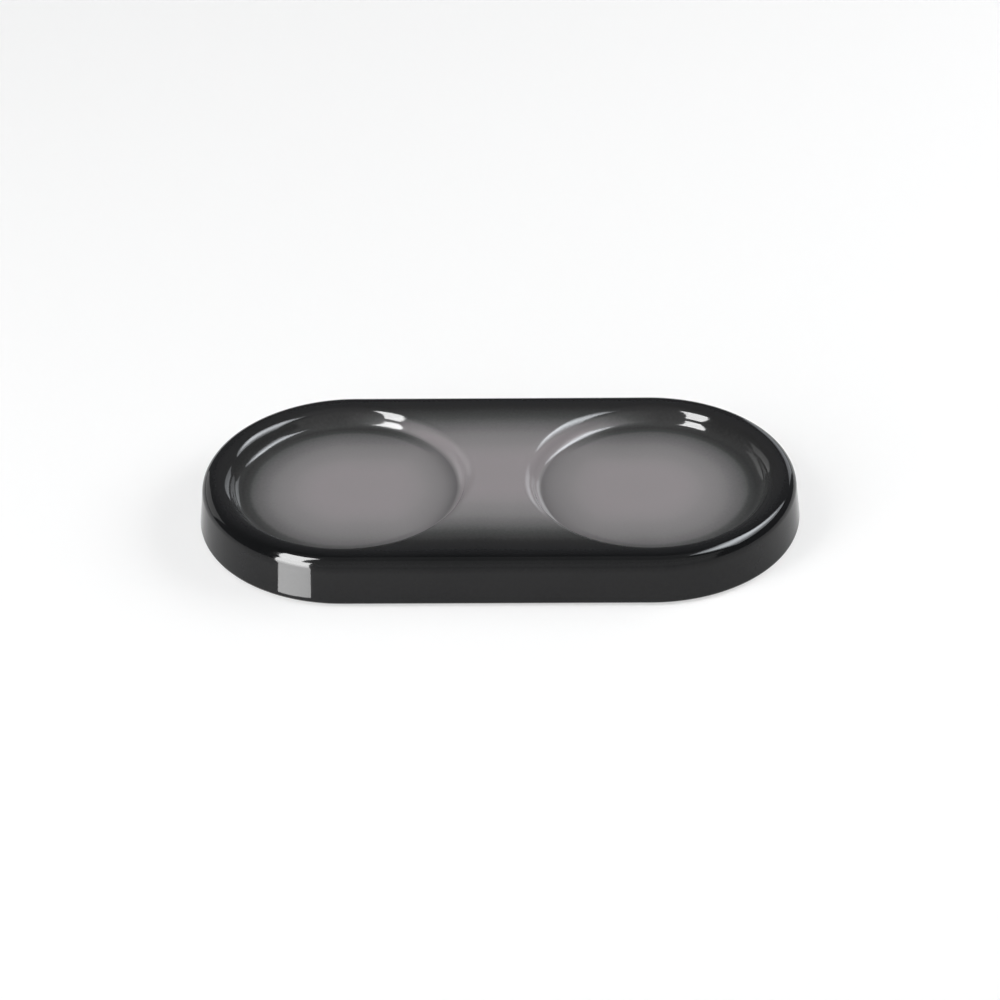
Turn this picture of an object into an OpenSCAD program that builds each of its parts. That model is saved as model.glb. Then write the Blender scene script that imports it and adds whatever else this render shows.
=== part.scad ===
// Table tray with two round wells for a pair of mills.
// A single stoneware casting carries coats of fired glaze, and each coat is a thin shell of its own.
// Millimetres. The origin is on the table under the middle of the tray, X runs along it and Z is up.

/* [Wells] */
// Diameter of the flat floor of each well, which the base of a mill stands on
well_floor_d = 63.5; // [40:0.5:110]
// Depth of each well below the deck
well_depth = 4.6; // [3.8:0.1:8]
// Radius of the rounded lip between deck and well wall
lip_r = 4; // [1:0.1:4.5]
// Length of the straight part of the well wall, between the lip and the hollow round at the floor
well_wall = 0.6; // [0.1:0.1:1.5]
// Lean of the well wall away from the middle of the well, in degrees from upright
well_lean = 26; // [0:1:30]

/* [Tray] */
// Width of the flat rim between a well's lip and the rounded outer edge
rim_width = 1.9; // [1.2:0.1:20]
// Width of the flat bridge where the two wells come closest
bridge_width = 13; // [2:0.1:60]
// Height of the deck above the table
tray_height = 15.5; // [13:0.5:30]
// Lean of the outer wall towards the middle, in degrees from upright
wall_lean = 6; // [0:0.5:15]
// Radius of the rounded edge between outer wall and deck
top_edge_r = 3.5; // [1.5:0.1:5]
// Radius of the rounded lower edge of the outer wall
low_edge_r = 1.2; // [0.9:0.1:3]

/* [Underside] */
// Height of the lower edge of the outer wall above the table
edge_lift = 0.6; // [0.4:0.1:2]
// Distance from the widest outline in to the outside of the foot ring
foot_inset = 3.4; // [3.1:0.1:8]
// Width of the bare standing face of the foot ring
foot_width = 4.5; // [2:0.1:10]
// Height of the hollow under the tray, inside the foot ring
hollow_height = 3; // [2.2:0.1:5]
// Radius of the round between the hollow's roof and the foot ring
hollow_round_r = 1.4; // [0.6:0.1:2.2]

/* [Glaze] */
// Thickness of the fired glaze
glaze_t = 0.5; // [0.3:0.05:0.7]
// Width of flat deck that the edge coat and the well coats each run on to
coat_lap = 0.4; // [0.2:0.05:0.5]

/* [Colours] */
// Glaze on the outer wall
edge_colour = "#262829"; // [#262829:charcoal, #2e2621:umber, #1f2a33:blue black]
// Glaze on the deck
deck_colour = "#4f4e4e"; // [#4f4e4e:slate, #574a41:brown, #445059:steel]
// Glaze in the wells
well_colour = "#878484"; // [#878484:grey, #8f8071:taupe, #7c8890:mist]
// Bare fired clay
clay_colour = "#cdbfa9"; // [#cdbfa9:sand, #b5907a:terracotta, #d9d5cc:porcelain]

/* [Hidden] */
$fn = 96;

// Length by which a cutting shape runs past the face that it opens
overrun = 1;

// Outward normals of the outer wall and of the well wall, in a profile of radius and height
wall_normal = [cos(wall_lean), sin(wall_lean)];
well_normal = [-cos(well_lean), sin(well_lean)];

// The hollow round at the well floor fills what the lip and the straight wall leave of the depth
round_sum = (well_depth + well_wall * well_normal.x) / (1 - well_normal.y);
floor_round_r = round_sum - lip_r;

// Centre of the well floor's round, and of the lip's, whose shared tangent is the well wall
floor_z = tray_height - well_depth;
floor_centre = [well_floor_d / 2, floor_z + floor_round_r];
lip_centre_z = tray_height - lip_r;
lip_centre_run = round_sum + (lip_centre_z - floor_centre.y) * well_normal.y;
lip_centre = [floor_centre.x - lip_centre_run / well_normal.x, lip_centre_z];

// The round ends and the wells share these two centres
end_x = lip_centre.x + bridge_width / 2;

// Centre of the top edge's round, and of the lower edge's, whose shared tangent is the outer wall
top_centre = [lip_centre.x + rim_width, tray_height - top_edge_r];
low_centre_z = edge_lift + low_edge_r;
low_centre_run = top_edge_r - low_edge_r + (top_centre.y - low_centre_z) * wall_normal.y;
low_centre = [top_centre.x + low_centre_run / wall_normal.x, low_centre_z];

// Half of the tray's width at its widest, just above the table
outline_r = low_centre.x + low_edge_r;

// Radii at which the edge coat and the well coats meet the deck's coat
edge_seam = top_centre.x - coat_lap;
well_seam = lip_centre.x + coat_lap;

// Foot ring and the glazed hollow inside it
foot_outer = outline_r - foot_inset;
foot_inner = foot_outer - foot_width;
hollow_wall = foot_inner - glaze_t;
hollow_centre = [hollow_wall - hollow_round_r, hollow_height - hollow_round_r];

// Section of the tray from its middle out to the wall, lying a depth below the glazed skin
module outer_profile(depth) {
    bottom = edge_lift + depth;
    top = tray_height - depth;
    low_touch = low_centre + (low_edge_r - depth) * wall_normal;
    top_touch = top_centre + (top_edge_r - depth) * wall_normal;
    polygon([[0, bottom], [low_centre.x, bottom], low_touch, top_touch, [top_centre.x, top], [0, top]]);
    translate(low_centre) circle(r = low_edge_r - depth);
    translate(top_centre) circle(r = top_edge_r - depth);
}

// Section of the open space of a well, grown by a depth below the glazed skin
module well_profile(depth) {
    above = max(tray_height, floor_centre.y + floor_round_r) + overrun;
    floor_touch = floor_centre - (floor_round_r + depth) * well_normal;
    lip_touch = lip_centre + (lip_r - depth) * well_normal;
    difference() {
        union() {
            polygon([
                [0, floor_z - depth], [floor_centre.x, floor_z - depth], floor_touch,
                lip_touch, [lip_centre.x, tray_height - depth], [lip_centre.x, above], [0, above]
            ]);
            translate(floor_centre) circle(r = floor_round_r + depth);
        }
        translate(lip_centre) circle(r = lip_r - depth);
    }
}

// Section of the hollow under the tray, grown by a depth below the glazed skin
module hollow_profile(depth) {
    roof = hollow_height + depth;
    side = hollow_wall + depth;
    polygon([[0, -overrun], [side, -overrun], [side, hollow_centre.y], [hollow_centre.x, roof], [0, roof]]);
    translate(hollow_centre) circle(r = hollow_round_r + depth);
}

// Section of the bare clay, foot ring included
module clay_profile() {
    difference() {
        union() {
            outer_profile(glaze_t);
            square([foot_outer, edge_lift + glaze_t]);
        }
        hollow_profile(glaze_t);
    }
}

// Carries a section round both ends of the tray and along its straight sides
module sweep_stadium() {
    for (side = [-1, 1])
        translate([side * end_x, 0, 0])
            rotate([0, 0, -90 * side])
                rotate_extrude(angle = 180)
                    children();
    for (side = [0, 1])
        mirror([0, side, 0])
            rotate([90, 0, 90])
                linear_extrude(height = 2 * end_x, center = true)
                    children();
}

// Turns a section about the middle of one well
module turn_well(side) {
    translate([side * end_x, 0, 0]) rotate_extrude() children();
}

// The fired clay casting, bare on its foot ring
module stoneware_body() {
    color(clay_colour)
        difference() {
            sweep_stadium() clay_profile();
            for (side = [-1, 1]) turn_well(side) well_profile(glaze_t);
        }
}

// Dark coat over the outer wall and both of its rounded edges
module edge_glaze() {
    color(edge_colour)
        sweep_stadium()
            difference() {
                outer_profile(0);
                outer_profile(glaze_t);
                square([foot_outer, tray_height / 2]);
                translate([0, tray_height / 2]) square([edge_seam, tray_height]);
            }
}

// Flat coat on the rim and on the bridge between the wells
module deck_glaze() {
    color(deck_colour)
        difference() {
            sweep_stadium()
                translate([0, tray_height - glaze_t]) square([edge_seam, glaze_t]);
            for (side = [-1, 1])
                translate([side * end_x, 0, tray_height - glaze_t - overrun])
                    cylinder(r = well_seam, h = glaze_t + 2 * overrun);
        }
}

// Coat that lines one well, from its floor over its lip to the deck
module well_glaze(side) {
    color(well_colour)
        turn_well(side) {
            difference() {
                well_profile(glaze_t);
                well_profile(0);
            }
            translate([lip_centre.x, tray_height - glaze_t]) square([coat_lap, glaze_t]);
        }
}

// Coat inside the hollow, which stops clear of the table
module underside_glaze() {
    color(edge_colour)
        sweep_stadium()
            difference() {
                hollow_profile(glaze_t);
                hollow_profile(0);
                translate([0, -2 * overrun]) square([foot_outer, 2 * overrun + edge_lift]);
            }
}

stoneware_body();
edge_glaze();
deck_glaze();
well_glaze(-1);  // left_well_glaze
well_glaze(1);  // right_well_glaze
underside_glaze();
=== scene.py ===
"""Glazed stoneware tray with two wells for a pair of mills: its fired coats, its stage and its camera."""

import math

import bmesh
import bpy
from mathutils import Matrix, Vector


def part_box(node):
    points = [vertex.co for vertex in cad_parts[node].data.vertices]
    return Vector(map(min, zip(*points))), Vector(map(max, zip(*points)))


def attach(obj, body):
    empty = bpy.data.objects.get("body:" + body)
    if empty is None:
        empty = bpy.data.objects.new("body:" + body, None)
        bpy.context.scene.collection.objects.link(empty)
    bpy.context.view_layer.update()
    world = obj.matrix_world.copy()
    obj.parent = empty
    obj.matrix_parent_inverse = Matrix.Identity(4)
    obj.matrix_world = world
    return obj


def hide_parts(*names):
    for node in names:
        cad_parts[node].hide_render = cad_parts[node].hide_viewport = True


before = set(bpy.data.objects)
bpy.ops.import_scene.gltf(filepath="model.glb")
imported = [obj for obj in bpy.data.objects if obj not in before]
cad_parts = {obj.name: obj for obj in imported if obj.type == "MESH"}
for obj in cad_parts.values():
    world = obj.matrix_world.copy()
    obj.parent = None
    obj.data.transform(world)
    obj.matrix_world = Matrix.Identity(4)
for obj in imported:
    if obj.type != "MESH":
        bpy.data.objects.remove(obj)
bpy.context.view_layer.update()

bl_info = {
    "name": "Mill tray",
    "version": (1, 0, 0),
    "blender": (4, 5, 0),
    "location": "3D View > Sidebar > Mill tray",
    "description": "Glazes the packed clay casting of a mill tray and sets it on a pale studio floor",
    "category": "Object",
}

MM = 0.001
EDGE_LOW, EDGE_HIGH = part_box("edge_glaze")
DECK_LOW, DECK_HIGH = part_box("deck_glaze")
WELL_LOW, WELL_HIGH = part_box("right_well_glaze")
HOLLOW_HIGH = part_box("underside_glaze")[1]
GLAZE_T = DECK_HIGH.z - DECK_LOW.z

# Points of a coat that are closer than this are one
WELD = 0.001 * MM
# Bend between two faces up to which a coat is shaded smooth
SMOOTH_BEND = math.radians(40)
# Distance from each round to an extra point of a coat's section, which keeps the shading of the flats flat
GUARD = 0.12 * MM
# Most flat deck that a coat may run on to beside its round
LAP_LIMIT = 1 * MM

# Refractive index, lower than the 1.5 of glass because the glaze's reflections are weaker
GLAZE_IOR = 1.31
# The wall of a well is measured across from inside to outside the rim of its flat floor
WALL_START, WALL_END = -2.75 * MM, 6.75 * MM
# Share of painted light that pales places across that wall, as if lit, and of painted shade at its foot
PAINTED_WALL_LIGHT = ((0.0, 0.0), (0.4, 0.0), (0.46, 0.5), (0.51, 1.0), (0.58, 0.9),
           (0.66, 0.5), (0.73, 0.15), (0.8, 0.0), (1.0, 0.0))
PAINTED_FOOT_SHADE = ((0.0, 0.0), (0.12, 1.0), (0.3, 1.0), (0.42, 0.0), (1.0, 0.0))

WHITE, DAYLIGHT = (1.0, 1.0, 1.0), (0.92, 0.96, 1.0)
ACROSS, DEEP, UPRIGHT = (1, 0, 0), (0, 1, 0), (0, 0, 1)


class TraySizes(bpy.types.PropertyGroup):
    """Sizes of the fired coats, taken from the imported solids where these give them."""

    outline_r: bpy.props.FloatProperty(
        name="Outline radius", default=EDGE_HIGH.y, unit="LENGTH",
        description="Half of the tray's width at its widest, and the radius of its round ends")
    end_x: bpy.props.FloatProperty(
        name="End centre", default=(WELL_LOW.x + WELL_HIGH.x) / 2, unit="LENGTH",
        description="Distance from the middle of the tray to the centre of a well and of a round end")
    deck_z: bpy.props.FloatProperty(
        name="Deck height", default=DECK_HIGH.z, unit="LENGTH",
        description="Height of the deck above the table")
    glaze_t: bpy.props.FloatProperty(
        name="Glaze thickness", default=GLAZE_T, unit="LENGTH",
        description="Thickness of the fired glaze")
    edge_lift: bpy.props.FloatProperty(
        name="Edge lift", default=EDGE_LOW.z, unit="LENGTH",
        description="Height of the outer wall's lower edge above the table")
    edge_seam: bpy.props.FloatProperty(
        name="Edge seam", default=DECK_HIGH.y, unit="LENGTH",
        description="Radius at which the edge coat meets the deck coat")
    well_seam: bpy.props.FloatProperty(
        name="Well seam", default=WELL_HIGH.y, unit="LENGTH",
        description="Radius at which a well coat meets the deck coat")
    floor_z: bpy.props.FloatProperty(
        name="Well floor height", default=WELL_LOW.z + GLAZE_T, unit="LENGTH",
        description="Height of the well floor above the table")
    roof_z: bpy.props.FloatProperty(
        name="Hollow height", default=HOLLOW_HIGH.z - GLAZE_T, unit="LENGTH",
        description="Height of the hollow under the tray")
    foot_inner: bpy.props.FloatProperty(
        name="Foot ring inside", default=HOLLOW_HIGH.y, unit="LENGTH",
        description="Radius of the inner side of the foot ring")
    foot_inset: bpy.props.FloatProperty(
        name="Foot ring inset", default=3.4 * MM, unit="LENGTH",
        description="Distance from the widest outline in to the outside of the foot ring")
    wall_lean: bpy.props.FloatProperty(
        name="Wall lean", default=math.radians(6), subtype="ANGLE",
        description="Lean of the outer wall towards the middle, from upright")
    top_edge_r: bpy.props.FloatProperty(
        name="Top edge radius", default=3.5 * MM, unit="LENGTH",
        description="Radius of the rounded edge between outer wall and deck")
    low_edge_r: bpy.props.FloatProperty(
        name="Low edge radius", default=1.2 * MM, unit="LENGTH",
        description="Radius of the outer wall's rounded lower edge")
    floor_r: bpy.props.FloatProperty(
        name="Well floor radius", default=31.75 * MM, unit="LENGTH",
        description="Radius of the flat floor of a well")
    lip_r: bpy.props.FloatProperty(
        name="Lip radius", default=4 * MM, unit="LENGTH",
        description="Radius of the rounded lip between deck and well wall")
    well_wall: bpy.props.FloatProperty(
        name="Well wall", default=0.6 * MM, unit="LENGTH",
        description="Length of the straight part of the well wall")
    well_lean: bpy.props.FloatProperty(
        name="Well lean", default=math.radians(26), subtype="ANGLE",
        description="Lean of the well wall away from the middle of the well, from upright")
    hollow_round_r: bpy.props.FloatProperty(
        name="Hollow round", default=1.4 * MM, unit="LENGTH",
        description="Radius of the round between the hollow's roof and the foot ring")
    bead_r: bpy.props.FloatProperty(
        name="Glaze bead", default=0.22 * MM, unit="LENGTH",
        description="Radius of the bead to which molten glaze draws up at its bare edge")
    arc_steps: bpy.props.IntProperty(
        name="Arc steps", default=96, min=8, max=256,
        description="Facets round each half circle")
    straight_steps: bpy.props.IntProperty(
        name="Straight steps", default=8, min=1, max=64,
        description="Facets along each straight side")


class TrayFinish(bpy.types.PropertyGroup):
    """Colours of the glaze from the outer wall inwards, how they fade, and colours of the bare clay."""

    wall_colour: bpy.props.StringProperty(
        name="Wall", default="#090a0b", description="Glaze on the outer wall, sRGB hex")
    rim_colour: bpy.props.StringProperty(
        name="Rim", default="#212122", description="Glaze on the rim beside the wall, sRGB hex")
    lip_colour: bpy.props.StringProperty(
        name="Lip", default="#323232", description="Glaze at the well lips nearest the wall, sRGB hex")
    fade_colour: bpy.props.StringProperty(
        name="Fade", default="#525252", description="Glaze halfway through its fade, sRGB hex")
    inner_colour: bpy.props.StringProperty(
        name="Inner", default="#747273", description="Glaze past the middle of its fade, sRGB hex")
    pale_colour: bpy.props.StringProperty(
        name="Pale", default="#858283", description="Glaze where the fade ends, sRGB hex")
    heart_colour: bpy.props.StringProperty(
        name="Heart", default="#8d888a", description="Glaze along the middle of the tray, sRGB hex")
    clay_colour: bpy.props.StringProperty(
        name="Clay", default="#cdbfa9", description="Bare fired clay, sRGB hex")
    iron_colour: bpy.props.StringProperty(
        name="Iron", default="#5a4436", description="Specks of iron in the clay, sRGB hex")
    spray_lean: bpy.props.FloatProperty(
        name="Spray lean", default=0.06,
        description="Shift of the fade towards the front, for each unit of distance from the middle")
    fade_width: bpy.props.FloatProperty(
        name="Fade width", default=37 * MM, unit="LENGTH",
        description="Distance from the outline in to where the colour stops changing")


class TrayStage(bpy.types.PropertyGroup):
    """Floor, light and camera."""

    floor_size: bpy.props.FloatProperty(
        name="Floor size", default=24.0, unit="LENGTH", description="Side of the square floor")
    fill_power: bpy.props.FloatProperty(
        name="Fill power", default=5.2, unit="POWER", description="Power of the soft light overhead")
    room_level: bpy.props.FloatProperty(
        name="Room level", default=0.15, description="Strength of the light from all round")
    camera_distance: bpy.props.FloatProperty(
        name="Camera distance", default=1211.64 * MM, unit="LENGTH",
        description="Distance from the camera to the point it looks at")
    camera_elevation: bpy.props.FloatProperty(
        name="Camera elevation", default=math.radians(35.074), subtype="ANGLE",
        description="Angle of the camera above the table")
    camera_azimuth: bpy.props.FloatProperty(
        name="Camera azimuth", default=math.radians(1.756), subtype="ANGLE",
        description="Angle of the camera from straight in front, to the right")
    camera_roll: bpy.props.FloatProperty(
        name="Camera roll", default=math.radians(-1.27), subtype="ANGLE",
        description="Turn of the camera about its own axis")
    camera_target: bpy.props.FloatVectorProperty(
        name="Camera target", default=(-0.106 * MM, 9.1 * MM, 0.0), subtype="TRANSLATION",
        description="Point that the camera looks at")
    camera_lens: bpy.props.FloatProperty(
        name="Lens", default=144.0, description="Focal length on a 36 mm sensor, in millimetres")


def linear(hex_colour):
    """Turns an sRGB hex value to the linear colour that shaders take."""
    parts = [int(hex_colour[i:i + 2], 16) / 255 for i in (1, 3, 5)]
    return [c / 12.92 if c <= 0.04045 else ((c + 0.055) / 1.055) ** 2.4 for c in parts] + [1.0]


def add(tree, kind, settings=None, inputs=None):
    """Adds a node to a tree, with its settings, and with a value or a link for each input."""
    node = tree.nodes.new(kind)
    for name, value in (settings or {}).items():
        setattr(node, name, value)
    for key, value in (inputs or {}).items():
        if isinstance(value, bpy.types.NodeSocket):
            tree.links.new(value, node.inputs[key])
        else:
            node.inputs[key].default_value = value
    return node


def shader(name):
    """Starts a material with one principled shader, and gives the material, its tree and the shader."""
    material = bpy.data.materials.new(name)
    material.use_nodes = True
    return material, material.node_tree, material.node_tree.nodes["Principled BSDF"]


def fill_ramp(node, stops):
    """Sets the stops of a ramp from pairs of a position with an sRGB hex colour or with a plain level."""
    elements = node.color_ramp.elements
    elements[0].position, elements[1].position = stops[0][0], stops[-1][0]
    for position, _ in stops[1:-1]:
        elements.new(position)
    for element, (_, tone) in zip(elements, stops):
        element.color = linear(tone) if isinstance(tone, str) else (tone, tone, tone, 1.0)


def outline_distance(tree, xyz, sizes):
    """Gives the distance in millimetres from the outer wall's outline in to each point of the surface."""
    along = add(tree, "ShaderNodeMath", {"operation": "ABSOLUTE"}, {0: xyz.outputs["X"]})
    beyond = add(tree, "ShaderNodeMath", {"operation": "SUBTRACT"}, {0: along.outputs[0], 1: sizes.end_x})
    run = add(tree, "ShaderNodeMath", {"operation": "MAXIMUM"}, {0: beyond.outputs[0], 1: 0.0})
    flat = add(tree, "ShaderNodeCombineXYZ", inputs={"X": run.outputs[0], "Y": xyz.outputs["Y"]})
    spread = add(tree, "ShaderNodeVectorMath", {"operation": "LENGTH"}, {0: flat.outputs[0]})
    inward = add(tree, "ShaderNodeMath", {"operation": "SUBTRACT"},
                 {0: sizes.outline_r, 1: spread.outputs["Value"]})
    length = add(tree, "ShaderNodeMath", {"operation": "MULTIPLY"}, {0: inward.outputs[0], 1: 1 / MM})
    return length.outputs[0]


def well_place(tree, xyz, sizes):
    """Gives the distance from the middle of the nearer well, and how far a point is back by the bridge."""
    along = add(tree, "ShaderNodeMath", {"operation": "ABSOLUTE"}, {0: xyz.outputs["X"]})
    inward = add(tree, "ShaderNodeMath", {"operation": "SUBTRACT"}, {0: sizes.end_x, 1: along.outputs[0]})
    plan = add(tree, "ShaderNodeCombineXYZ", inputs={"X": inward.outputs[0], "Y": xyz.outputs["Y"]})
    radius = add(tree, "ShaderNodeVectorMath", {"operation": "LENGTH"}, {0: plan.outputs[0]}).outputs["Value"]
    inner = add(tree, "ShaderNodeMath", {"operation": "DIVIDE"}, {0: inward.outputs[0], 1: radius})
    back = add(tree, "ShaderNodeMath", {"operation": "MAXIMUM"}, {0: xyz.outputs["Y"], 1: 0.0})
    behind = add(tree, "ShaderNodeMath", {"operation": "DIVIDE"}, {0: back.outputs[0], 1: radius})
    corner = add(tree, "ShaderNodeMath", {"operation": "MULTIPLY"},
                 {0: inner.outputs[0], 1: behind.outputs[0]})
    return radius, corner.outputs[0]


def spray_shift(tree, xyz, sizes, finish):
    """Gives the millimetres by which the fade shifts because the spray came in from the front.

    It lies deeper on the front of the deck, and misses the front of the wells.
    """
    front = add(tree, "ShaderNodeMath", {"operation": "MINIMUM"}, {0: xyz.outputs["Y"], 1: 0.0})
    on_deck = finish.spray_lean / MM
    laid = add(tree, "ShaderNodeMapRange", inputs={
        "Value": xyz.outputs["Z"], "From Min": sizes.floor_z, "From Max": sizes.deck_z,
        "To Min": -2 * on_deck, "To Max": on_deck})
    return add(tree, "ShaderNodeMath", {"operation": "MULTIPLY"},
               {0: front.outputs[0], 1: laid.outputs["Result"]}).outputs[0]


def painted_wall_light_and_shade(tree, radius, corner, sizes):
    """Gives the share by which painted light pales the walls of the wells and painted shade darkens their
    foot.

    The walls are painted paler, as if lit, most at the back by the bridge, and painted shade lies dark at the
    foot of the walls.
    """
    across = add(tree, "ShaderNodeMapRange", inputs={
        "Value": radius, "From Min": sizes.floor_r + WALL_START, "From Max": sizes.floor_r + WALL_END})
    # Painted light: the walls are painted paler, as if lit, most at the back by the bridge and a little all
    # round
    bare = add(tree, "ShaderNodeValToRGB", inputs={"Fac": across.outputs["Result"]})
    fill_ramp(bare, PAINTED_WALL_LIGHT)
    by_bridge, all_round = 1.7, 0.15
    lean = add(tree, "ShaderNodeMath", {"operation": "MULTIPLY_ADD", "use_clamp": True},
               {0: corner, 1: by_bridge, 2: all_round})
    wall_light = add(tree, "ShaderNodeMath", {"operation": "MULTIPLY"},
               {0: bare.outputs["Color"], 1: lean.outputs[0]})
    # Painted shade: the foot of the walls and the edge of the floor are painted darker
    foot_shade = add(tree, "ShaderNodeValToRGB", inputs={"Fac": across.outputs["Result"]})
    fill_ramp(foot_shade, PAINTED_FOOT_SHADE)
    foot_shade_depth = 0.14
    return add(tree, "ShaderNodeMath", {"operation": "MULTIPLY_ADD"},
               {0: foot_shade.outputs["Color"], 1: -foot_shade_depth, 2: wall_light.outputs[0]}).outputs[0]


def spray_grain(tree, place):
    """Gives the millimetres by which the fade is uneven."""
    # The spray's edge wanders by about a millimetre over patches of some 25 mm
    wander = 1.2
    drift = add(tree, "ShaderNodeTexNoise", inputs={"Vector": place, "Scale": 1 / (25 * MM), "Detail": 2.0})
    edge = add(tree, "ShaderNodeMath", {"operation": "MULTIPLY_ADD"},
               {0: drift.outputs["Fac"], 1: 2 * wander, 2: -wander})
    # Droplets of spray, drawn out by the melt to about 0.9 mm
    spatter = 0.8
    mist = add(tree, "ShaderNodeTexNoise", inputs={"Vector": place, "Scale": 1 / (0.9 * MM), "Detail": 1.0})
    droplet = add(tree, "ShaderNodeMath", {"operation": "MULTIPLY_ADD"},
                  {0: mist.outputs["Fac"], 1: 2 * spatter, 2: -spatter})
    return add(tree, "ShaderNodeMath", inputs={0: edge.outputs[0], 1: droplet.outputs[0]}).outputs[0]


def painted_floor_shade_limit(tree, radius, sizes):
    """Gives the palest share of the fade in the wells, lowered by painted shade towards their walls."""
    unshaded_floor, shaded_foot = 0.46 * sizes.floor_r, sizes.floor_r + 2.75 * MM
    # Painted shade: the floor is painted darker towards the foot of the walls
    floor_shade = add(tree, "ShaderNodeMapRange", inputs={
        "Value": radius, "From Min": unshaded_floor, "From Max": shaded_foot, "To Min": 1.0, "To Max": 0.53})
    # The limit is lifted again up the wall
    clear = add(tree, "ShaderNodeMapRange", inputs={
        "Value": radius, "From Min": sizes.floor_r + 0.6 * MM, "From Max": sizes.floor_r + 3.8 * MM})
    limit = add(tree, "ShaderNodeMath", inputs={0: floor_shade.outputs["Result"], 1: clear.outputs["Result"]})
    return limit.outputs[0]


def fading_glaze(sizes, finish):
    """Glossy stoneware glaze, charcoal sprayed over grey and fired.

    To the eye it is a glassy skin with hard, clear reflections, near black at the wall, whose colour melts to
    a warm mid grey towards the middle without any line. The spray leaves the fade a little uneven, and the
    melt leaves the surface very slightly wavy.
    """
    material, tree, glaze = shader("glossy_stoneware_glaze")
    place = add(tree, "ShaderNodeTexCoord").outputs["Object"]
    xyz = add(tree, "ShaderNodeSeparateXYZ", inputs={0: place})
    distance = outline_distance(tree, xyz, sizes)
    radius, corner = well_place(tree, xyz, sizes)

    shifted = add(tree, "ShaderNodeMath", inputs={0: distance, 1: spray_shift(tree, xyz, sizes, finish)})
    # The walls of the wells carry painted light, and their foot carries painted shade
    lit_and_shaded_distance = add(tree, "ShaderNodeMath", {"operation": "MULTIPLY_ADD"},
                 {0: distance, 1: painted_wall_light_and_shade(tree, radius, corner, sizes), 2: shifted.outputs[0]})
    sprayed = add(tree, "ShaderNodeMath", inputs={0: lit_and_shaded_distance.outputs[0], 1: spray_grain(tree, place)})
    share = add(tree, "ShaderNodeMapRange", inputs={
        "Value": sprayed.outputs[0], "From Max": finish.fade_width / MM})
    soft_join = 0.08
    # Painted shade darkens the well floors towards their walls
    least = add(tree, "ShaderNodeMath", {"operation": "SMOOTH_MIN"},
                {0: share.outputs["Result"], 1: painted_floor_shade_limit(tree, radius, sizes), 2: soft_join})
    fade = add(tree, "ShaderNodeValToRGB", inputs={"Fac": least.outputs[0]})
    fade.color_ramp.interpolation = "CARDINAL"
    fill_ramp(fade, [
        (0.0, finish.wall_colour), (0.137, finish.rim_colour), (0.28, finish.lip_colour),
        (0.43, finish.fade_colour), (0.6, finish.inner_colour), (0.8, finish.pale_colour),
        (1.0, finish.heart_colour)])
    tree.links.new(fade.outputs["Color"], glaze.inputs["Base Color"])

    # A faint unevenness of the gloss, as wide as a thumb mark
    gloss = add(tree, "ShaderNodeTexNoise", inputs={"Vector": place, "Scale": 1 / (14 * MM), "Detail": 3.0})
    rough = add(tree, "ShaderNodeMapRange", inputs={
        "Value": gloss.outputs["Fac"], "To Min": 0.05, "To Max": 0.09})
    tree.links.new(rough.outputs["Result"], glaze.inputs["Roughness"])

    # Waves of the melt, about 9 mm apart and some hundredths of a millimetre high
    wave = add(tree, "ShaderNodeTexNoise", inputs={"Vector": place, "Scale": 1 / (9 * MM), "Detail": 1.0})
    skin = add(tree, "ShaderNodeBump", inputs={
        "Height": wave.outputs["Fac"], "Strength": 1.0, "Distance": 0.05 * MM})
    tree.links.new(skin.outputs["Normal"], glaze.inputs["Normal"])
    glaze.inputs["IOR"].default_value = GLAZE_IOR
    return material


def charcoal_glaze(finish):
    """The same glaze, charcoal all over under the tray: glassy, near black, with small pinholes."""
    material, tree, glaze = shader("charcoal_stoneware_glaze")
    place = add(tree, "ShaderNodeTexCoord").outputs["Object"]
    # The tone drifts over some 18 mm
    cloud = add(tree, "ShaderNodeTexNoise", inputs={"Vector": place, "Scale": 1 / (18 * MM), "Detail": 3.0})
    tone = add(tree, "ShaderNodeMix", {"data_type": "RGBA"}, {"Factor": cloud.outputs["Fac"]})
    tone.inputs["A"].default_value = linear(finish.wall_colour)
    tone.inputs["B"].default_value = linear(finish.lip_colour)
    tree.links.new(tone.outputs["Result"], glaze.inputs["Base Color"])
    # Pinholes of gas that left the melt, about 0.5 mm wide and some 4 mm apart
    hole = add(tree, "ShaderNodeTexVoronoi", inputs={"Vector": place, "Scale": 1 / (4 * MM)})
    pit = add(tree, "ShaderNodeMapRange", {"interpolation_type": "SMOOTHSTEP"},
              {"Value": hole.outputs["Distance"], "From Min": 0.03, "From Max": 0.1})
    skin = add(tree, "ShaderNodeBump", inputs={
        "Height": pit.outputs["Result"], "Strength": 0.6, "Distance": 0.05 * MM})
    tree.links.new(skin.outputs["Normal"], glaze.inputs["Normal"])
    rough = add(tree, "ShaderNodeMapRange", inputs={
        "Value": cloud.outputs["Fac"], "To Min": 0.08, "To Max": 0.16})
    tree.links.new(rough.outputs["Result"], glaze.inputs["Roughness"])
    glaze.inputs["IOR"].default_value = GLAZE_IOR
    return material


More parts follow.
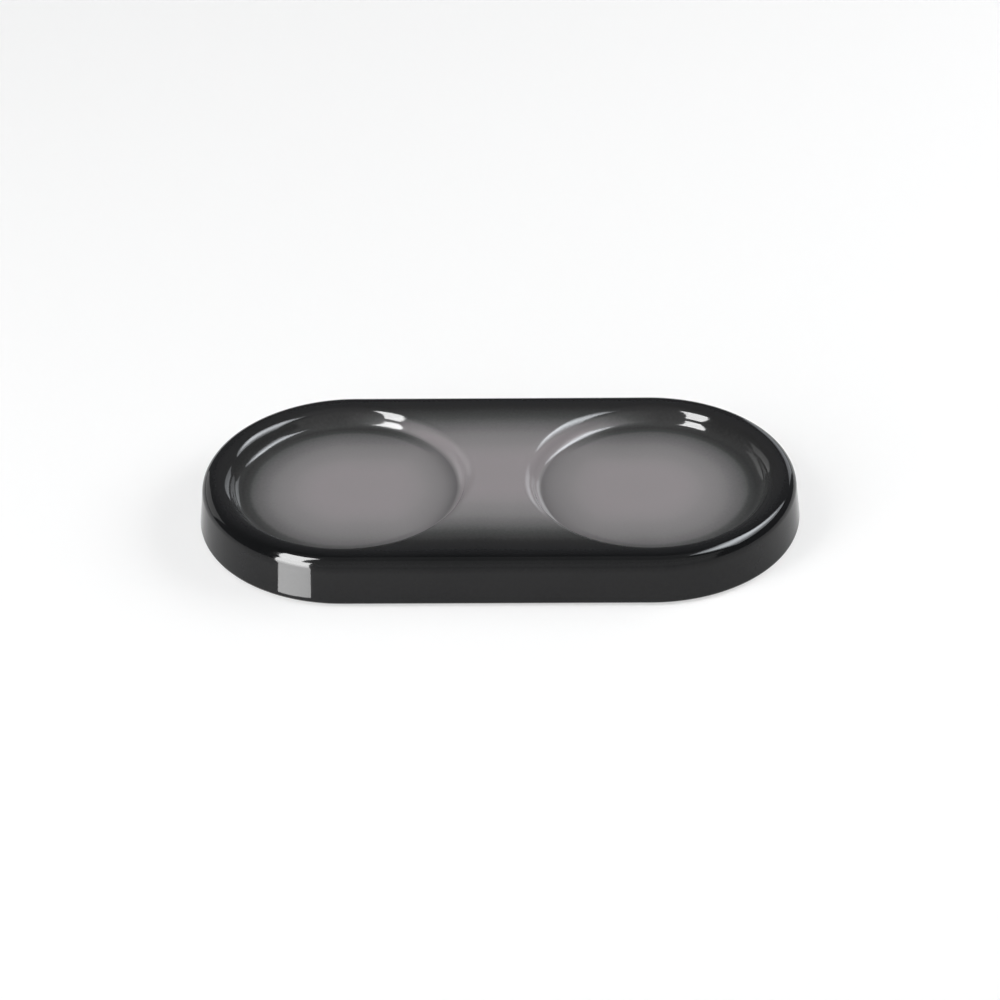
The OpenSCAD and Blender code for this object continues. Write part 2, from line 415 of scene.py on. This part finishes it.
def bare_stoneware(finish):
    """Bare fired stoneware, ground flat after firing: dry, sandy and pale, with iron specks and fine grog."""
    material, tree, clay = shader("bare_fired_stoneware")
    place = add(tree, "ShaderNodeTexCoord").outputs["Object"]
    # The tone drifts over some 12 mm, as the kiln's heat does
    cloud = add(tree, "ShaderNodeTexNoise", inputs={"Vector": place, "Scale": 1 / (12 * MM), "Detail": 4.0})
    light = add(tree, "ShaderNodeMapRange", inputs={
        "Value": cloud.outputs["Fac"], "To Min": 0.86, "To Max": 1.1})
    tone = add(tree, "ShaderNodeHueSaturation", inputs={
        "Color": linear(finish.clay_colour), "Value": light.outputs["Result"]})
    # Iron specks, about 0.6 mm wide and 2 mm apart
    speck = add(tree, "ShaderNodeTexVoronoi", inputs={"Vector": place, "Scale": 1 / (2 * MM)})
    spot = add(tree, "ShaderNodeMapRange", {"interpolation_type": "SMOOTHSTEP"}, {
        "Value": speck.outputs["Distance"], "From Min": 0.08, "From Max": 0.2, "To Min": 0.75, "To Max": 0.0})
    body = add(tree, "ShaderNodeMix", {"data_type": "RGBA"},
               {"Factor": spot.outputs["Result"], "A": tone.outputs["Color"]})
    body.inputs["B"].default_value = linear(finish.iron_colour)
    tree.links.new(body.outputs["Result"], clay.inputs["Base Color"])
    # Grains of grog, 0.5 mm, drawn a little coarser than real so that they show
    grain = add(tree, "ShaderNodeTexNoise", inputs={"Vector": place, "Scale": 1 / (0.5 * MM), "Detail": 3.0})
    skin = add(tree, "ShaderNodeBump", inputs={
        "Height": grain.outputs["Fac"], "Strength": 0.5, "Distance": 0.08 * MM})
    tree.links.new(skin.outputs["Normal"], clay.inputs["Normal"])
    clay.inputs["Roughness"].default_value = 0.85
    return material


def tree_input(tree, name, kind, default=None):
    """Adds a named input to a Geometry Nodes tree."""
    socket = tree.interface.new_socket(name, in_out="INPUT", socket_type=kind)
    if default is not None:
        socket.default_value = default


def walk_round(tree, step, group):
    """Gives the angle, and the shift along X, of each step on a walk round both ends and along both sides."""
    arc_steps, side_steps = group.outputs["Arc steps"], group.outputs["Straight steps"]
    legs, left = [], step
    for length in (arc_steps, side_steps, arc_steps, side_steps):
        leg = add(tree, "ShaderNodeClamp", inputs={"Value": left, "Min": 0.0, "Max": length})
        legs.append(leg.outputs[0])
        left = add(tree, "ShaderNodeMath", {"operation": "SUBTRACT"}, {0: left, 1: length}).outputs[0]
    turned = add(tree, "ShaderNodeMath", inputs={0: legs[0], 1: legs[2]})
    half_turns = add(tree, "ShaderNodeMath", {"operation": "DIVIDE"}, {0: turned.outputs[0], 1: arc_steps})
    angle = add(tree, "ShaderNodeMath", {"operation": "MULTIPLY_ADD"},
                {0: half_turns.outputs[0], 1: math.pi, 2: -math.pi / 2})
    walked = add(tree, "ShaderNodeMath", {"operation": "SUBTRACT"}, {0: legs[3], 1: legs[1]})
    spans = add(tree, "ShaderNodeMath", {"operation": "DIVIDE"}, {0: walked.outputs[0], 1: side_steps})
    side = add(tree, "ShaderNodeMath", {"operation": "MULTIPLY_ADD"}, {0: spans.outputs[0], 1: 2.0, 2: 1.0})
    shift = add(tree, "ShaderNodeMath", {"operation": "MULTIPLY"},
                {0: side.outputs[0], 1: group.outputs["End centre"]})
    return angle.outputs[0], shift.outputs[0]


def round_place(tree, angle, radius, shift, height):
    """Gives the point at an angle and a radius about a centre that is shifted along X, at a height."""
    cosine = add(tree, "ShaderNodeMath", {"operation": "COSINE"}, {0: angle})
    sine = add(tree, "ShaderNodeMath", {"operation": "SINE"}, {0: angle})
    x = add(tree, "ShaderNodeMath", {"operation": "MULTIPLY_ADD"},
            {0: cosine.outputs[0], 1: radius, 2: shift})
    y = add(tree, "ShaderNodeMath", {"operation": "MULTIPLY"}, {0: sine.outputs[0], 1: radius})
    point = add(tree, "ShaderNodeCombineXYZ", inputs={"X": x.outputs[0], "Y": y.outputs[0], "Z": height})
    return point.outputs[0]


def close_tree(tree, mesh, group):
    """Welds a tree's mesh, shades it smooth up to its corners, gives it its material and ends the tree."""
    welded = add(tree, "GeometryNodeMergeByDistance", inputs={"Geometry": mesh, "Distance": WELD})
    smooth = add(tree, "GeometryNodeSetShadeSmooth", {"domain": "FACE"},
                 {0: welded.outputs[0], "Shade Smooth": True})
    bend = add(tree, "GeometryNodeInputMeshEdgeAngle").outputs["Unsigned Angle"]
    gentle = add(tree, "FunctionNodeCompare", {"operation": "LESS_THAN"}, {0: bend, 1: SMOOTH_BEND})
    edged = add(tree, "GeometryNodeSetShadeSmooth", {"domain": "EDGE"},
                {0: smooth.outputs[0], "Shade Smooth": gentle.outputs[0]})
    real = add(tree, "GeometryNodeRealizeInstances", inputs={0: edged.outputs[0]})
    coat = add(tree, "GeometryNodeSetMaterial", inputs={
        0: real.outputs[0], "Material": group.outputs["Material"]})
    add(tree, "NodeGroupOutput", inputs={0: coat.outputs[0]})


def swept_coat_tree():
    """Carries the section that a mesh's points give, as radius and height, round both ends of the tray.

    With the end centre at zero, the section is turned about one well instead.
    """
    tree = bpy.data.node_groups.new("swept_coat", "GeometryNodeTree")
    tree_input(tree, "Section", "NodeSocketGeometry")
    tree_input(tree, "End centre", "NodeSocketFloat")
    tree_input(tree, "Middle X", "NodeSocketFloat")
    tree_input(tree, "Arc steps", "NodeSocketInt", 96)
    tree_input(tree, "Straight steps", "NodeSocketInt", 1)
    tree_input(tree, "Material", "NodeSocketMaterial")
    tree.interface.new_socket("Coat", in_out="OUTPUT", socket_type="NodeSocketGeometry")
    group = add(tree, "NodeGroupInput")
    section = group.outputs["Section"]

    domain = add(tree, "GeometryNodeAttributeDomainSize", {"component": "MESH"}, {0: section})
    rows = domain.outputs["Point Count"]
    half = add(tree, "ShaderNodeMath", inputs={
        0: group.outputs["Arc steps"], 1: group.outputs["Straight steps"]})
    columns = add(tree, "ShaderNodeMath", {"operation": "MULTIPLY_ADD"}, {0: half.outputs[0], 1: 2.0, 2: 1.0})
    grid = add(tree, "GeometryNodeMeshGrid", inputs={"Vertices X": columns.outputs[0], "Vertices Y": rows})

    index = add(tree, "GeometryNodeInputIndex").outputs[0]
    ratio = add(tree, "ShaderNodeMath", {"operation": "DIVIDE"}, {0: index, 1: rows})
    step = add(tree, "ShaderNodeMath", {"operation": "FLOOR"}, {0: ratio.outputs[0]})
    row = add(tree, "ShaderNodeMath", {"operation": "MODULO"}, {0: index, 1: rows})
    angle, shift = walk_round(tree, step.outputs[0], group)
    centre = add(tree, "ShaderNodeMath", inputs={0: shift, 1: group.outputs["Middle X"]})

    position = add(tree, "GeometryNodeInputPosition").outputs[0]
    point = add(tree, "GeometryNodeSampleIndex", {"data_type": "FLOAT_VECTOR", "domain": "POINT"},
                {"Geometry": section, "Value": position, "Index": row.outputs[0]})
    profile = add(tree, "ShaderNodeSeparateXYZ", inputs={0: point.outputs[0]})
    place = round_place(tree, angle, profile.outputs["X"], centre.outputs[0], profile.outputs["Z"])
    swept = add(tree, "GeometryNodeSetPosition", inputs={"Geometry": grid.outputs["Mesh"], "Position": place})
    close_tree(tree, swept.outputs[0], group)
    return tree


def deck_coat_tree():
    """Fills the outline between the edge coat and the two well coats, and gives the sheet its thickness."""
    tree = bpy.data.node_groups.new("deck_coat", "GeometryNodeTree")
    tree_input(tree, "Geometry", "NodeSocketGeometry")
    for name in ("End centre", "Edge seam", "Well seam", "Deck height", "Thickness"):
        tree_input(tree, name, "NodeSocketFloat")
    tree_input(tree, "Arc steps", "NodeSocketInt", 96)
    tree_input(tree, "Straight steps", "NodeSocketInt", 8)
    tree_input(tree, "Material", "NodeSocketMaterial")
    tree.interface.new_socket("Coat", in_out="OUTPUT", socket_type="NodeSocketGeometry")
    group = add(tree, "NodeGroupInput")
    index = add(tree, "GeometryNodeInputIndex").outputs[0]
    arc_steps, end = group.outputs["Arc steps"], group.outputs["End centre"]

    half = add(tree, "ShaderNodeMath", inputs={0: arc_steps, 1: group.outputs["Straight steps"]})
    around = add(tree, "ShaderNodeMath", {"operation": "MULTIPLY"}, {0: half.outputs[0], 1: 2.0})
    ring = add(tree, "GeometryNodeMeshCircle", {"fill_type": "NONE"}, {"Vertices": around.outputs[0]})
    angle, shift = walk_round(tree, index, group)
    place = round_place(tree, angle, group.outputs["Edge seam"], shift, 0.0)
    rings = [add(tree, "GeometryNodeSetPosition", inputs={
        "Geometry": ring.outputs["Mesh"], "Position": place})]

    turn = add(tree, "ShaderNodeMath", {"operation": "MULTIPLY"}, {0: arc_steps, 1: 2.0})
    half_turns = add(tree, "ShaderNodeMath", {"operation": "DIVIDE"}, {0: index, 1: arc_steps})
    angle = add(tree, "ShaderNodeMath", {"operation": "MULTIPLY_ADD"},
                {0: half_turns.outputs[0], 1: math.pi, 2: -math.pi / 2})
    for side in (-1.0, 1.0):
        centre = add(tree, "ShaderNodeMath", {"operation": "MULTIPLY"}, {0: end, 1: side})
        place = round_place(tree, angle.outputs[0], group.outputs["Well seam"], centre.outputs[0], 0.0)
        ring = add(tree, "GeometryNodeMeshCircle", {"fill_type": "NONE"}, {"Vertices": turn.outputs[0]})
        rings.append(add(tree, "GeometryNodeSetPosition", inputs={
            "Geometry": ring.outputs["Mesh"], "Position": place}))

    joined = add(tree, "GeometryNodeJoinGeometry")
    for ring in rings:
        curve = add(tree, "GeometryNodeMeshToCurve", inputs={0: ring.outputs[0]})
        tree.links.new(curve.outputs[0], joined.inputs[0])
    sheet = add(tree, "GeometryNodeFillCurve", inputs={0: joined.outputs[0]})
    raised = add(tree, "ShaderNodeCombineXYZ", inputs={"Z": group.outputs["Deck height"]})
    top = add(tree, "GeometryNodeTransform", inputs={
        "Geometry": sheet.outputs[0], "Translation": raised.outputs[0]})
    down = add(tree, "ShaderNodeMath", {"operation": "MULTIPLY"}, {0: group.outputs["Thickness"], 1: -1.0})
    drop = add(tree, "ShaderNodeCombineXYZ", inputs={"Z": down.outputs[0]})
    lower = add(tree, "GeometryNodeExtrudeMesh", {"mode": "FACES"},
                {"Mesh": top.outputs[0], "Offset": drop.outputs[0], "Offset Scale": 1.0, "Individual": False})
    whole = add(tree, "GeometryNodeJoinGeometry")
    tree.links.new(top.outputs[0], whole.inputs[0])
    tree.links.new(lower.outputs["Mesh"], whole.inputs[0])
    close_tree(tree, whole.outputs[0], group)
    return tree


def arc(centre, radius, start, stop, steps):
    """Points of radius and height on an arc, with its angles in radians from the outward direction."""
    turns = [start + (stop - start) * i / steps for i in range(steps + 1)]
    return [(centre[0] + radius * math.cos(a), centre[1] + radius * math.sin(a)) for a in turns]


def between(a, b, *distances):
    """Points on the line from a to b, at distances from a, or from b where they are negative."""
    span = math.dist(a, b)
    places = [(d if d >= 0 else span + d) / span for d in distances]
    return [(a[0] + (b[0] - a[0]) * p, a[1] + (b[1] - a[1]) * p) for p in places]


def edge_section(s):
    """Section of the coat over the outer wall and its two rounded edges."""
    lean, t = s.wall_lean, s.glaze_t
    low = (s.outline_r - s.low_edge_r, s.edge_lift + s.low_edge_r)
    top_z = s.deck_z - s.top_edge_r
    run = s.low_edge_r - s.top_edge_r - (top_z - low[1]) * math.sin(lean)
    top = (low[0] + run / math.cos(lean), top_z)
    if not 0 < top[0] - s.edge_seam < LAP_LIMIT:
        raise ValueError("the top edge's round doesn't end beside the seam of the edge coat")
    foot = s.outline_r - s.foot_inset
    bead = arc((foot + s.bead_r, s.edge_lift + s.bead_r), s.bead_r, math.pi, 1.5 * math.pi, 6)
    skirt = arc(low, s.low_edge_r, -math.pi / 2, lean, 14)
    brow = arc(top, s.top_edge_r, lean, math.pi / 2, 20)
    seam = (s.edge_seam, s.deck_z)
    skin = bead + between(bead[-1], skirt[0], GUARD, -GUARD) + skirt
    mid_wall = 4 * MM
    skin += between(skirt[-1], brow[0], GUARD, mid_wall, -GUARD) + brow
    skin += between(brow[-1], seam, GUARD) + [seam]
    back = [(s.edge_seam, s.deck_z - t)] + arc(top, s.top_edge_r - t, math.pi / 2, lean, 12)
    back += arc(low, s.low_edge_r - t, lean, -math.pi / 2, 8) + [(foot, s.edge_lift + t)]
    return skin + back + [skin[0]]


def well_section(s):
    """Section of the coat that lines a well, from the floor's middle over the lip to the deck and back."""
    lean, t = s.well_lean, s.glaze_t
    rounds = (s.deck_z - s.floor_z - s.well_wall * math.cos(lean)) / (1 - math.sin(lean))
    round_r = rounds - s.lip_r
    floor = (s.floor_r, s.floor_z + round_r)
    lip_z = s.deck_z - s.lip_r
    lip = (floor[0] + (rounds + (lip_z - floor[1]) * math.sin(lean)) / math.cos(lean), lip_z)
    if not 0 < s.well_seam - lip[0] < LAP_LIMIT:
        raise ValueError("the lip's round doesn't end beside the seam of the well coat")
    cove = arc(floor, round_r, -math.pi / 2, -lean, 16)
    brow = arc(lip, s.lip_r, math.pi - lean, math.pi / 2, 20)
    seam = (s.well_seam, s.deck_z)
    rings = [(s.floor_r * share, s.floor_z) for share in (0, 0.15, 0.35, 0.55, 0.75, 0.9)]
    skin = rings + between(rings[-1], cove[0], -GUARD) + cove + between(cove[-1], brow[0], GUARD, -GUARD)
    skin += brow + between(brow[-1], seam, GUARD) + [seam]
    back = [(s.well_seam, s.deck_z - t)] + arc(lip, s.lip_r - t, math.pi / 2, math.pi - lean, 12)
    back += arc(floor, round_r + t, -lean, -math.pi / 2, 10)
    back += [(r, s.floor_z - t) for r, _ in reversed(rings)]
    return skin + back


def hollow_section(s):
    """Section of the coat in the hollow under the tray, from the roof down the foot ring and back."""
    t, wall = s.glaze_t, s.foot_inner - s.glaze_t
    centre = (wall - s.hollow_round_r, s.roof_z - s.hollow_round_r)
    roof = [(centre[0] * share, s.roof_z) for share in (0, 0.3, 0.6, 0.9)]
    cove = arc(centre, s.hollow_round_r, math.pi / 2, 0, 14)
    bead = arc((wall + s.bead_r, s.edge_lift + s.bead_r), s.bead_r, math.pi, 1.5 * math.pi, 6)
    bead_guard = 0.05 * MM
    skin = roof + between(roof[-1], cove[0], -GUARD) + cove + between(cove[-1], bead[0], -bead_guard) + bead
    back = [(s.foot_inner, s.edge_lift)] + arc(centre, s.hollow_round_r + t, 0, math.pi / 2, 10)
    return skin + back + [(r, s.roof_z + t) for r, _ in reversed(roof)]


def close_shell(name, mesh):
    """Merges a mesh's doubles and turns its faces outwards, and stops where it isn't closed."""
    shell = bmesh.new()
    shell.from_mesh(mesh)
    bmesh.ops.remove_doubles(shell, verts=shell.verts, dist=WELD)
    bmesh.ops.recalc_face_normals(shell, faces=shell.faces)
    if shell.calc_volume(signed=True) < 0:
        bmesh.ops.reverse_faces(shell, faces=shell.faces)
    loose = sum(1 for edge in shell.edges if not edge.is_manifold)
    shell.to_mesh(mesh)
    shell.free()
    if loose:
        raise RuntimeError(f"{name} has {loose} open edges")


def grow(name, tree, section, values):
    """Runs a Geometry Nodes tree on a section and returns a plain, closed mesh object at the origin."""
    mesh = bpy.data.meshes.new(name + "_section")
    mesh.from_pydata([(r, 0.0, z) for r, z in section], [(i, i + 1) for i in range(len(section) - 1)], [])
    seed = bpy.data.objects.new(name + "_section", mesh)
    bpy.context.scene.collection.objects.link(seed)
    modifier = seed.modifiers.new("coat", "NODES")
    modifier.node_group = tree
    for item in tree.interface.items_tree:
        if item.in_out == "INPUT" and item.name in values:
            modifier[item.identifier] = values[item.name]
    grown = bpy.data.meshes.new_from_object(seed.evaluated_get(bpy.context.evaluated_depsgraph_get()))
    seed.modifiers.clear()
    bpy.data.objects.remove(seed)
    bpy.data.meshes.remove(mesh)

    close_shell(name, grown)
    grown.name = name
    piece = bpy.data.objects.new(name, grown)
    bpy.context.scene.collection.objects.link(piece)
    return piece


def settle(piece, node):
    """Puts a finished coat in the place of its solid."""
    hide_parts(node)
    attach(piece, "root")


def shared(make, name, *arguments):
    """Gives the material or tree of a name, made at its first use."""
    found = bpy.data.materials.get(name) or bpy.data.node_groups.get(name)
    return found or make(*arguments)


def sweep(context, name, section, material, middle=0.0, end=0.0, straight=1):
    """Carries one section round the tray or round a well."""
    return grow(name, shared(swept_coat_tree, "swept_coat"), section, {
        "End centre": end, "Middle X": middle, "Arc steps": context.scene.mill_tray_sizes.arc_steps,
        "Straight steps": straight, "Material": material})


class MILLTRAY_OT_body(bpy.types.Operator):
    """Give the clay casting its bare stoneware, which shows on the foot ring"""

    bl_idname = "mill_tray.body"
    bl_label = "Clay body"

    def execute(self, context):
        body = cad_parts["stoneware_body"]
        body.data.materials.clear()
        body.data.materials.append(bare_stoneware(context.scene.mill_tray_finish))
        return {"FINISHED"}


class MILLTRAY_OT_edge(bpy.types.Operator):
    """Glaze the outer wall and its two rounded edges"""

    bl_idname = "mill_tray.edge"
    bl_label = "Edge coat"

    def execute(self, context):
        sizes, finish = context.scene.mill_tray_sizes, context.scene.mill_tray_finish
        glaze = shared(fading_glaze, "glossy_stoneware_glaze", sizes, finish)
        section = edge_section(sizes)
        coat = sweep(context, "edge_coat", section, glaze, end=sizes.end_x, straight=sizes.straight_steps)
        settle(coat, "edge_glaze")
        return {"FINISHED"}


class MILLTRAY_OT_deck(bpy.types.Operator):
    """Glaze the flat rim and the bridge between the wells"""

    bl_idname = "mill_tray.deck"
    bl_label = "Deck coat"

    def execute(self, context):
        sizes, finish = context.scene.mill_tray_sizes, context.scene.mill_tray_finish
        glaze = shared(fading_glaze, "glossy_stoneware_glaze", sizes, finish)
        coat = grow("deck_coat", shared(deck_coat_tree, "deck_coat"), [(0.0, 0.0)], {
            "End centre": sizes.end_x, "Edge seam": sizes.edge_seam, "Well seam": sizes.well_seam,
            "Deck height": sizes.deck_z, "Thickness": sizes.glaze_t, "Arc steps": sizes.arc_steps,
            "Straight steps": sizes.straight_steps, "Material": glaze})
        settle(coat, "deck_glaze")
        return {"FINISHED"}


class MILLTRAY_OT_wells(bpy.types.Operator):
    """Line both wells, from the floor over the lip to the deck"""

    bl_idname = "mill_tray.wells"
    bl_label = "Well coats"

    def execute(self, context):
        sizes, finish = context.scene.mill_tray_sizes, context.scene.mill_tray_finish
        glaze = shared(fading_glaze, "glossy_stoneware_glaze", sizes, finish)
        for side, middle in (("left", -sizes.end_x), ("right", sizes.end_x)):
            coat = sweep(context, side + "_well_coat", well_section(sizes), glaze, middle=middle)
            settle(coat, side + "_well_glaze")
        return {"FINISHED"}


class MILLTRAY_OT_underside(bpy.types.Operator):
    """Glaze the hollow under the tray"""

    bl_idname = "mill_tray.underside"
    bl_label = "Underside coat"

    def execute(self, context):
        sizes, finish = context.scene.mill_tray_sizes, context.scene.mill_tray_finish
        glaze = shared(charcoal_glaze, "charcoal_stoneware_glaze", finish)
        section = hollow_section(sizes)
        coat = sweep(context, "underside_coat", section, glaze,
                     end=sizes.end_x, straight=sizes.straight_steps)
        settle(coat, "underside_glaze")
        return {"FINISHED"}


def white_floor():
    """Matt white card: pale and even, its white lifted where it is seen directly, and the shadow kept."""
    material, tree, card = shader("matt_white_card")
    card.inputs["Base Color"].default_value = (0.45, 0.45, 0.45, 1.0)
    card.inputs["Roughness"].default_value = 0.9
    card.inputs["Specular IOR Level"].default_value = 0.0
    path = add(tree, "ShaderNodeLightPath").outputs
    direct = add(tree, "ShaderNodeMath", inputs={0: path["Is Camera Ray"], 1: path["Is Glossy Ray"]})
    seen = add(tree, "ShaderNodeMath", {"use_clamp": True},
               {0: direct.outputs[0], 1: path["Is Transmission Ray"]})
    lifted = 0.53
    lift = add(tree, "ShaderNodeMath", {"operation": "MULTIPLY"}, {0: seen.outputs[0], 1: lifted})
    card.inputs["Emission Color"].default_value = (1.0, 1.0, 1.0, 1.0)
    tree.links.new(lift.outputs[0], card.inputs["Emission Strength"])
    return material


def reflection_glow():
    """Glow that paints a reflected window on the tray's front-left wall: white, growing brighter away from
    the tray and upwards.
    """
    material, tree, glow = shader("painted_reflection_glow")
    glow.inputs["Base Color"].default_value = (0.0, 0.0, 0.0, 1.0)
    glow.inputs["Emission Color"].default_value = (1.0, 1.0, 1.0, 1.0)
    xyz = add(tree, "ShaderNodeSeparateXYZ", inputs={0: add(tree, "ShaderNodeTexCoord").outputs["Object"]})
    growth, start = 0.4, 25 * MM
    away = add(tree, "ShaderNodeMath", {"operation": "MULTIPLY_ADD"},
               {0: xyz.outputs["Y"], 1: -growth, 2: -start})
    ahead = add(tree, "ShaderNodeMath", {"operation": "MAXIMUM"}, {0: away.outputs[0], 1: 0.0})
    reach = add(tree, "ShaderNodeMath", inputs={0: ahead.outputs[0], 1: xyz.outputs["Z"]})
    strength = add(tree, "ShaderNodeMapRange", inputs={
        "Value": reach.outputs[0], "From Max": 28 * MM, "To Min": 14.3, "To Max": 38.0})
    tree.links.new(strength.outputs["Result"], glow.inputs["Emission Strength"])
    return material


def stage_mesh(name, corners, faces, material):
    """Adds a mesh for the stage."""
    mesh = bpy.data.meshes.new(name)
    mesh.from_pydata(corners, [], faces)
    mesh.materials.append(material)
    item = bpy.data.objects.new(name, mesh)
    bpy.context.scene.collection.objects.link(item)
    return item


def lay_floor(stage):
    """Lays a square white floor under the tray."""
    half = stage.floor_size / 2
    corners = [(-half, -half, 0), (half, -half, 0), (half, half, 0), (-half, half, 0)]
    floor = stage_mesh("studio_floor", corners, [(0, 1, 2, 3)], white_floor())


def lay_reflection_card():
    """Lays a glowing card flat on the floor, folded up at its far end, where only mirrors show it, to paint a
    reflection on the front-left wall.
    """
    # Glowing card, no lamp, whose only purpose is a painted reflection on the front-left wall
    low, left_top, right_top = 0.2, 44.0, 55.0
    corners = [(-68.1, -43.6, low), (-56.8, -48.7, low), (-85.4, -102.9, low), (-117.6, -79.7, low),
               (-117.6, -79.7, left_top), (-85.4, -102.9, right_top)]
    places = [[length * MM for length in corner] for corner in corners]
    glow_card = stage_mesh("painted_reflection_card", places, [(0, 1, 2, 3), (3, 2, 5, 4)], reflection_glow())
    glow_card.visible_camera = glow_card.visible_diffuse = glow_card.visible_shadow = False


def light_room(stage):
    """Gives the dim studio its light from all round."""
    world = bpy.data.worlds.new("dim_studio")
    world.use_nodes = True
    room = world.node_tree.nodes["Background"]
    room.inputs["Color"].default_value = (0.94, 0.97, 1.0, 1.0)
    room.inputs["Strength"].default_value = stage.room_level
    bpy.context.scene.world = world


def panel_light(name, centre, along, size, power, colour=WHITE, mirrored=True):
    """Hangs a flat light of a width and a height that faces the tray, with its height along a direction.

    The glaze mirrors it, or else it lights the surfaces and is not mirrored.
    """
    lamp = bpy.data.lights.new(name, "AREA")
    lamp.shape, lamp.size, lamp.size_y = "RECTANGLE", size[0], size[1]
    lamp.energy, lamp.color = power, colour
    light = bpy.data.objects.new(name, lamp)
    back = Vector(centre).normalized()
    up = Vector(along) - back * Vector(along).dot(back)
    up.normalize()
    turn = Matrix((up.cross(back), up, back)).transposed().to_4x4()
    light.matrix_world = Matrix.Translation(centre) @ turn
    light.visible_camera, light.visible_diffuse, light.visible_glossy = False, not mirrored, mirrored
    bpy.context.scene.collection.objects.link(light)


def hang_lights(stage):
    """Lights the tray, with places and sizes in metres and powers in watts."""
    # Soft light that gives the surfaces their level
    panel_light("soft_overhead", (-0.25, -0.3, 1.5), ACROSS, (1.6, 1.6), stage.fill_power, mirrored=False)
    panel_light("key_right", (0.85, 0.12, 0.55), DEEP, (0.5, 0.9), 8.5, mirrored=False)
    panel_light("fill_left", (-0.7, -0.5, 0.45), (0.233, 0.613, 0.753), (0.4, 1.2), 9.0, mirrored=False)
    # A long strip at the right whose light falls off towards its sides
    panel_light("strip_core", (0.455, 0.275, 0.85), DEEP, (0.18, 0.56), 2.65, DAYLIGHT)
    panel_light("strip_middle", (0.48, 0.265, 0.838), DEEP, (0.36, 0.7), 6.6, DAYLIGHT)
    panel_light("strip_haze", (0.53, 0.255, 0.81), DEEP, (0.56, 0.84), 9.2, DAYLIGHT)
    # Windows, and the pale walls and ceiling of the room
    panel_light("tall_window_left", (-1.039, -0.854, 1.381), (0.387, 0.74, 0.55), (0.544, 2.0), 135.0)
    panel_light("pale_wall_left", (-0.75, 0.6, 0.3), UPRIGHT, (0.6, 0.5), 1.2)
    panel_light("slim_window_right", (0.42, 0.89, 0.28), UPRIGHT, (0.4, 0.38), 1.0, DAYLIGHT)
    panel_light("dim_front_wall", (0.1, -1.5, 0.5), UPRIGHT, (3.0, 0.9), 7.6)
    panel_light("dim_front_ceiling", (0.0, -1.0, 1.2), ACROSS, (0.9, 3.0), 6.4)
    panel_light("dim_ceiling", (0.0, -0.1, 1.6), ACROSS, (1.2, 1.2), 1.8)


def aim_camera(scene, stage):
    """Aims a long lens at the tray from in front and above."""
    turn, rise, roll = stage.camera_azimuth, stage.camera_elevation, stage.camera_roll
    back = Vector((math.sin(turn) * math.cos(rise), -math.cos(turn) * math.cos(rise), math.sin(rise)))
    right = Vector((math.cos(turn), math.sin(turn), 0.0))
    up = back.cross(right)
    across = right * math.cos(roll) + up * math.sin(roll)
    upright = up * math.cos(roll) - right * math.sin(roll)
    lens = bpy.data.cameras.new("camera")
    lens.lens, lens.sensor_width, lens.sensor_fit = stage.camera_lens, 36.0, "AUTO"
    lens.clip_start, lens.clip_end = 0.05, 100.0
    camera = bpy.data.objects.new("camera", lens)
    place = Vector(stage.camera_target) + back * stage.camera_distance
    camera.matrix_world = Matrix.Translation(place) @ Matrix((across, upright, back)).transposed().to_4x4()
    scene.collection.objects.link(camera)
    scene.camera = camera


class MILLTRAY_OT_stage(bpy.types.Operator):
    """Set the tray on a pale floor, light it and aim the camera"""

    bl_idname = "mill_tray.stage"
    bl_label = "Stage"

    def execute(self, context):
        stage = context.scene.mill_tray_stage
        lay_floor(stage)
        light_room(stage)
        hang_lights(stage)
        lay_reflection_card()
        aim_camera(context.scene, stage)
        context.scene.view_settings.view_transform = "Standard"
        return {"FINISHED"}


class MILLTRAY_PT_panel(bpy.types.Panel):
    """Lists the tray's sizes, finish and pieces"""

    bl_idname = "MILLTRAY_PT_panel"
    bl_label = "Mill tray"
    bl_space_type = "VIEW_3D"
    bl_region_type = "UI"
    bl_category = "Mill tray"

    def draw(self, context):
        column = self.layout.column()
        for operator in OPERATORS:
            column.operator(operator.bl_idname)
        for name in GROUPS:
            group = getattr(context.scene, name)
            box = self.layout.box()
            for setting in group.__annotations__:
                box.prop(group, setting)


GROUPS = {"mill_tray_sizes": TraySizes, "mill_tray_finish": TrayFinish, "mill_tray_stage": TrayStage}
OPERATORS = (
    MILLTRAY_OT_body, MILLTRAY_OT_edge, MILLTRAY_OT_deck,
    MILLTRAY_OT_wells, MILLTRAY_OT_underside, MILLTRAY_OT_stage,
)


def register():
    """Registers the settings, the operators and the panel."""
    for name, group in GROUPS.items():
        bpy.utils.register_class(group)
        setattr(bpy.types.Scene, name, bpy.props.PointerProperty(type=group))
    for cls in OPERATORS + (MILLTRAY_PT_panel,):
        bpy.utils.register_class(cls)


def unregister():
    """Takes the panel, the operators and the settings away again."""
    for cls in (MILLTRAY_PT_panel,) + OPERATORS[::-1]:
        bpy.utils.unregister_class(cls)
    for name, group in GROUPS.items():
        delattr(bpy.types.Scene, name)
        bpy.utils.unregister_class(group)


def main():
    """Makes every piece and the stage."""
    register()
    bpy.ops.mill_tray.body()
    bpy.ops.mill_tray.edge()
    bpy.ops.mill_tray.deck()
    bpy.ops.mill_tray.wells()
    bpy.ops.mill_tray.underside()
    bpy.ops.mill_tray.stage()


if __name__ == "__main__":
    main()
